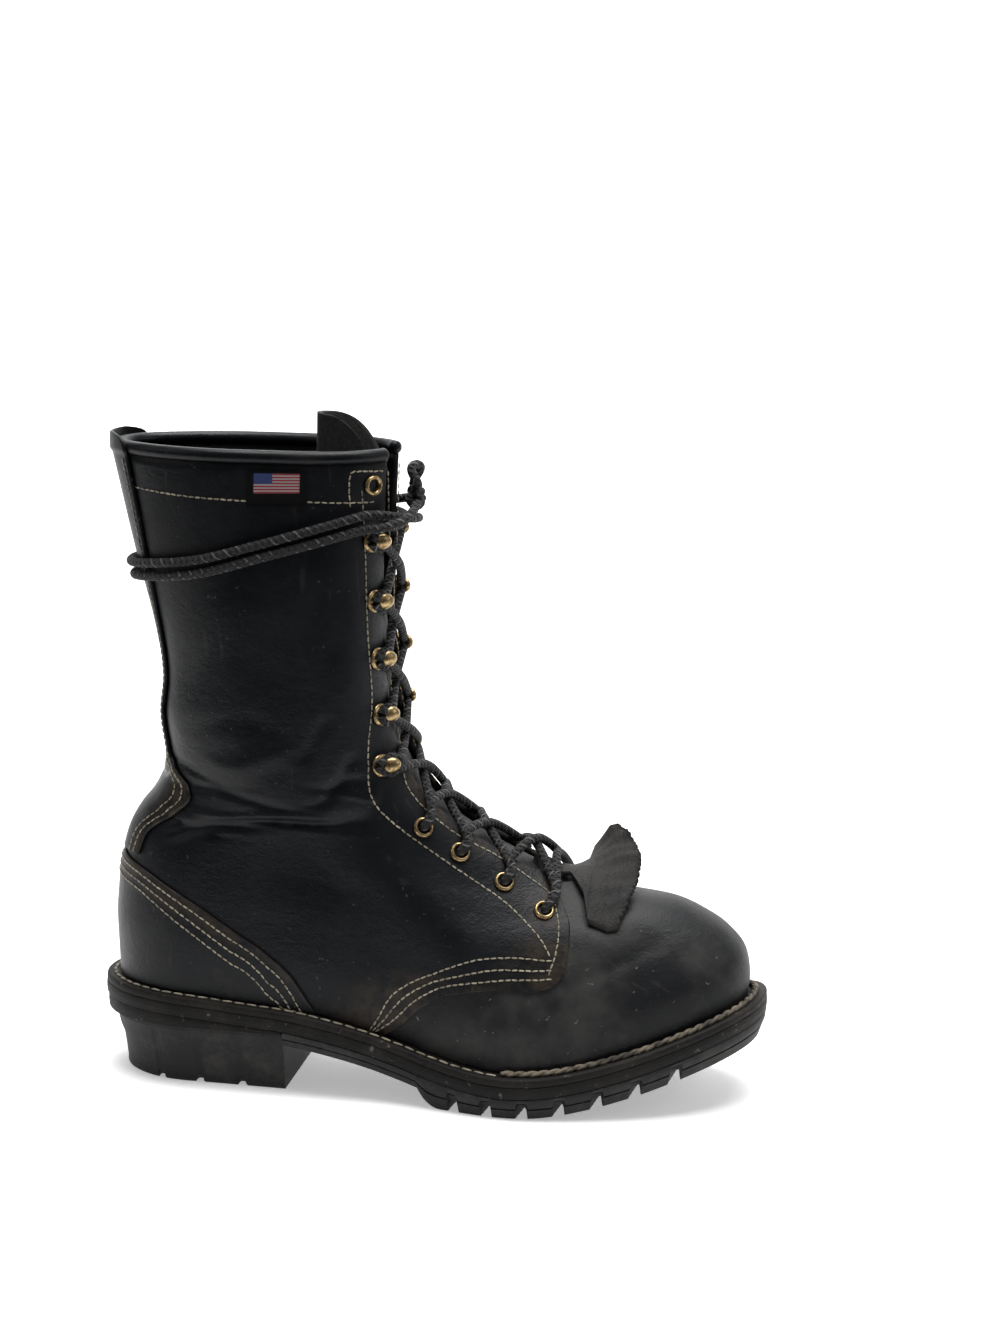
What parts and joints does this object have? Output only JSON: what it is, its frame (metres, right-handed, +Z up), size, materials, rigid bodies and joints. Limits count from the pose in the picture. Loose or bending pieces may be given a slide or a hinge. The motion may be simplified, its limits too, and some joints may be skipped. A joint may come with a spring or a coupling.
{
  "type": "logger boot",
  "caption": "Right black leather logger boot with a tall laced shaft, brass eyelets and hooks, a kiltie, a stitched welt and a high lugged rubber heel.",
  "frame": {"origin": "middle of the heel block's underside, on the floor", "axes": "+X towards the toe, +Y towards the inner (medial) side, +Z up; the outer (lateral) side faces -Y"},
  "size_m": [0.3078, 0.1213, 0.3075],
  "materials": {
    "leather": "waxed black full-grain leather, softly glossy, with a little brown at the seams",
    "kiltie": "black leather, matt, worn at the edges",
    "sole_leather": "edge-dyed black leather layers, dusty",
    "insole_leather": "brown vegetable-tanned leather, matt",
    "rubber": "matt black moulded rubber, dusty at the edges",
    "brass": "worn antique brass",
    "lace": "round braided black lace with grey flecks",
    "label": "small woven patch, plain stripes, no lettering"
  },
  "bodies": {
    "root": {"outsole": "rubber", "heel_block": "rubber", "heel_lift": "sole_leather", "midsole": "sole_leather", "welt": "sole_leather", "insole": "insole_leather", "upper": "leather", "counter": "leather", "backstay": "leather", "side_label": "label", "collar_binding": "leather", "tongue": "leather", "kiltie": "kiltie", "lace_crossings": "lace", "lace_end_outer": "lace", "lace_end_inner": "lace", "lace_knot": "lace", "lace_loop": "lace", "eyelet_outer_1": "brass", "eyelet_outer_2": "brass", "eyelet_outer_3": "brass", "eyelet_outer_4": "brass", "eyelet_outer_collar": "brass", "hook_outer_1": "brass", "hook_outer_2": "brass", "hook_outer_3": "brass", "hook_outer_4": "brass", "hook_outer_5": "brass", "eyelet_inner_1": "brass", "eyelet_inner_2": "brass", "eyelet_inner_3": "brass", "eyelet_inner_4": "brass", "eyelet_inner_collar": "brass", "hook_inner_1": "brass", "hook_inner_2": "brass", "hook_inner_3": "brass", "hook_inner_4": "brass", "hook_inner_5": "brass"}
  },
  "joints": []
}
